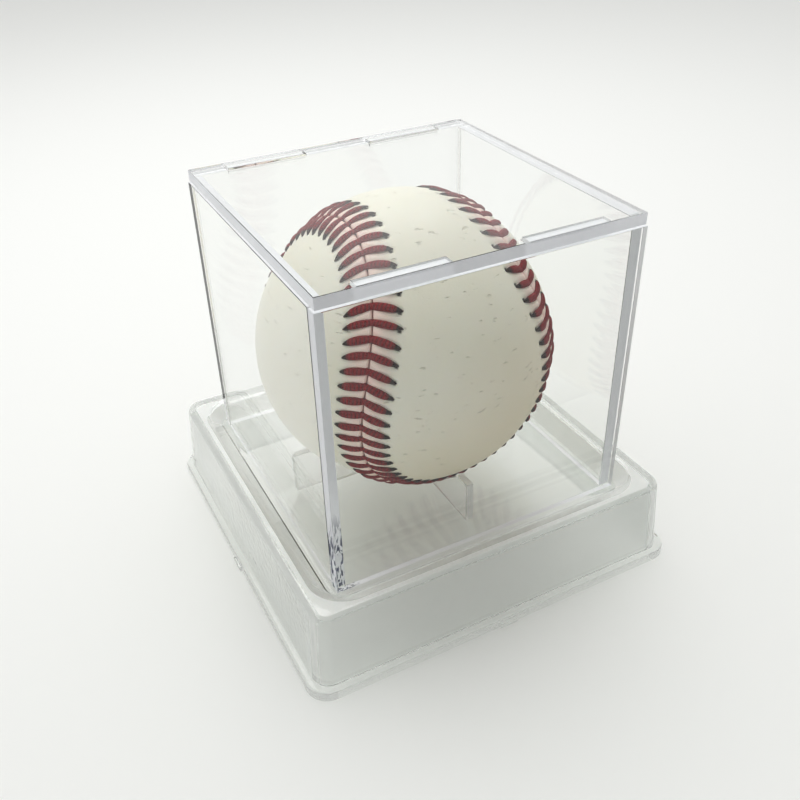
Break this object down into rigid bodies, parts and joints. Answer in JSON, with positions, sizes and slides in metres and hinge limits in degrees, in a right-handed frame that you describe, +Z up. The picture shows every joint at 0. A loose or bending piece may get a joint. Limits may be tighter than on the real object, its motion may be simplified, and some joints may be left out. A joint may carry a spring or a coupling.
{
  "type": "baseball display case",
  "caption": "Clear square display case: a lift-off cover with a tabbed lid on a hollow pedestal tray, with cradle fins holding a stitched leather ball.",
  "frame": {"origin": "centre of the footprint, on the surface that the case stands on", "axes": "+Z up through the lid; -Y is the front, square to a wall that carries two tabs; +X to the right seen from the front"},
  "size_m": [0.1074, 0.1074, 0.0976],
  "materials": {
    "moulded_clear_plastic": "clear injection-moulded polystyrene, glossy, faint grey-green tint, slightly wavy",
    "clear_sheet_plastic": "clear polished sheet, faint lavender-grey at the bonded edges",
    "cream_leather": "cream-white cowhide, fine grain, light scuffs, satin",
    "red_thread": "waxed red cotton thread, satin",
    "wool_winding": "tightly wound wool yarn, matt",
    "pill_rubber": "moulded rubber over cork, matt"
  },
  "bodies": {
    "pedestal": {"base_tray": "moulded_clear_plastic", "cradle_fin_front": "moulded_clear_plastic", "cradle_fin_right": "moulded_clear_plastic", "cradle_fin_back": "moulded_clear_plastic", "cradle_fin_left": "moulded_clear_plastic"},
    "cover": {"cover_lid": "clear_sheet_plastic", "cover_wall_front": "clear_sheet_plastic", "cover_wall_back": "clear_sheet_plastic", "cover_wall_left": "clear_sheet_plastic", "cover_wall_right": "clear_sheet_plastic"},
    "ball": {"ball_pill": "pill_rubber", "ball_winding": "wool_winding", "ball_leather_a": "cream_leather", "ball_leather_b": "cream_leather", "ball_stitching": "red_thread"}
  },
  "joints": [
    {"name": "cover_lift", "type": "slide", "parent": "pedestal", "child": "cover", "axis": [0, 0, 1], "range_m": [0, 0.08]},
    {"name": "ball_turn", "type": "hinge", "parent": "pedestal", "child": "ball", "pos_m": [0, 0, 0.0571], "axis": [0, 0, 1], "continuous": true}
  ]
}
